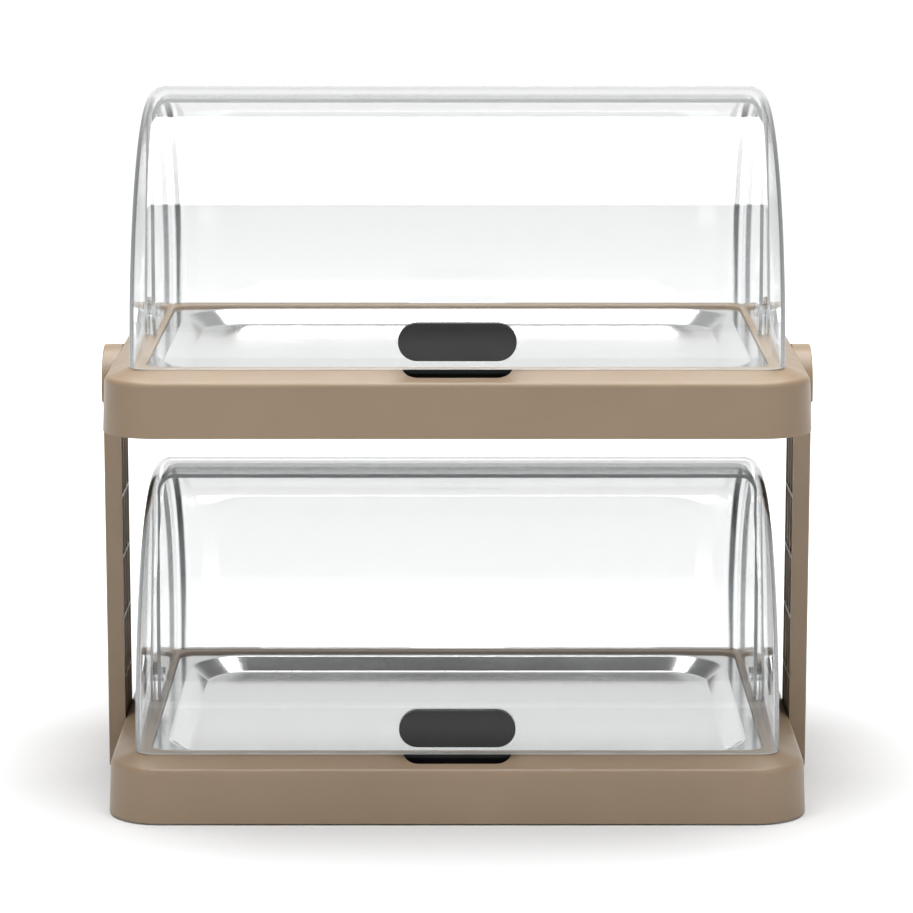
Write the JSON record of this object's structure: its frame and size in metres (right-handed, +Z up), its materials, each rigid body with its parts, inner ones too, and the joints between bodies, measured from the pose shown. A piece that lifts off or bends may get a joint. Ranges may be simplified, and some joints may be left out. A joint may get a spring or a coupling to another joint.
{
  "type": "chilled roll-top display",
  "caption": "Tiered chilled food display: moulded bases with freezer packs under steel trays, joined by side columns, each under a clear roll-top hood whose front half rolls up and back.",
  "frame": {"origin": "middle of the footprint, on the surface that the feet stand on", "axes": "+Z up, front with the handles towards -Y, +X to the right seen from the front"},
  "size_m": [0.4606, 0.32, 0.4474],
  "materials": {
    "moulded_taupe": "fine spark-eroded moulded texture",
    "clear_hood": "clear polished moulded plastic",
    "clear_fitting": "clear moulded plastic",
    "steel_tray": "satin pressed stainless sheet",
    "handle_black": "fine matt moulded",
    "screw_steel": "turned stainless",
    "freezer_pack": "blow-moulded",
    "cap_white": "moulded",
    "rubber_foot": "moulded"
  },
  "bodies": {
    "stand": {"foot_front_left": "rubber_foot", "foot_front_right": "rubber_foot", "foot_rear_left": "rubber_foot", "foot_rear_right": "rubber_foot", "lower_base": "moulded_taupe", "lower_column_screw_left_front": "screw_steel", "lower_column_screw_left_rear": "screw_steel", "lower_column_screw_right_front": "screw_steel", "lower_column_screw_right_rear": "screw_steel", "lower_floor_pan": "handle_black", "lower_floor_screw_front_left": "screw_steel", "lower_floor_screw_front_right": "screw_steel", "lower_floor_screw_rear_left": "screw_steel", "lower_floor_screw_rear_right": "screw_steel", "lower_ice_pack_cap_left": "cap_white", "lower_ice_pack_cap_right": "cap_white", "lower_ice_pack_left": "freezer_pack", "lower_ice_pack_right": "freezer_pack", "lower_pivot_bracket_left": "clear_fitting", "lower_pivot_bracket_right": "clear_fitting", "lower_pivot_hub_left": "clear_fitting", "lower_pivot_hub_right": "clear_fitting", "lower_pivot_stud_left": "clear_fitting", "lower_pivot_stud_right": "clear_fitting", "lower_rear_hood": "clear_hood", "lower_steel_tray": "steel_tray", "side_column_left": "moulded_taupe", "side_column_right": "moulded_taupe", "upper_base": "moulded_taupe", "upper_column_screw_left_front": "screw_steel", "upper_column_screw_left_rear": "screw_steel", "upper_column_screw_right_front": "screw_steel", "upper_column_screw_right_rear": "screw_steel", "upper_floor_pan": "handle_black", "upper_floor_screw_front_left": "screw_steel", "upper_floor_screw_front_right": "screw_steel", "upper_floor_screw_rear_left": "screw_steel", "upper_floor_screw_rear_right": "screw_steel", "upper_ice_pack_cap_left": "cap_white", "upper_ice_pack_cap_right": "cap_white", "upper_ice_pack_left": "freezer_pack", "upper_ice_pack_right": "freezer_pack", "upper_pivot_bracket_left": "clear_fitting", "upper_pivot_bracket_right": "clear_fitting", "upper_pivot_hub_left": "clear_fitting", "upper_pivot_hub_right": "clear_fitting", "upper_pivot_stud_left": "clear_fitting", "upper_pivot_stud_right": "clear_fitting", "upper_rear_hood": "clear_hood", "upper_steel_tray": "steel_tray"},
    "lower_roll_hood": {"lower_front_hood": "clear_hood", "lower_handle": "handle_black", "lower_handle_screw_left": "screw_steel", "lower_handle_screw_right": "screw_steel"},
    "upper_roll_hood": {"upper_front_hood": "clear_hood", "upper_handle": "handle_black", "upper_handle_screw_left": "screw_steel", "upper_handle_screw_right": "screw_steel"}
  },
  "joints": [
    {"name": "lower_hood_roll", "type": "hinge", "parent": "stand", "child": "lower_roll_hood", "pos_m": [0, 0, 0.0575], "axis": [-1, 0, 0], "range_deg": [0, 90]},
    {"name": "upper_hood_roll", "type": "hinge", "parent": "stand", "child": "upper_roll_hood", "pos_m": [0, 0, 0.30185], "axis": [-1, 0, 0], "range_deg": [0, 90]}
  ]
}
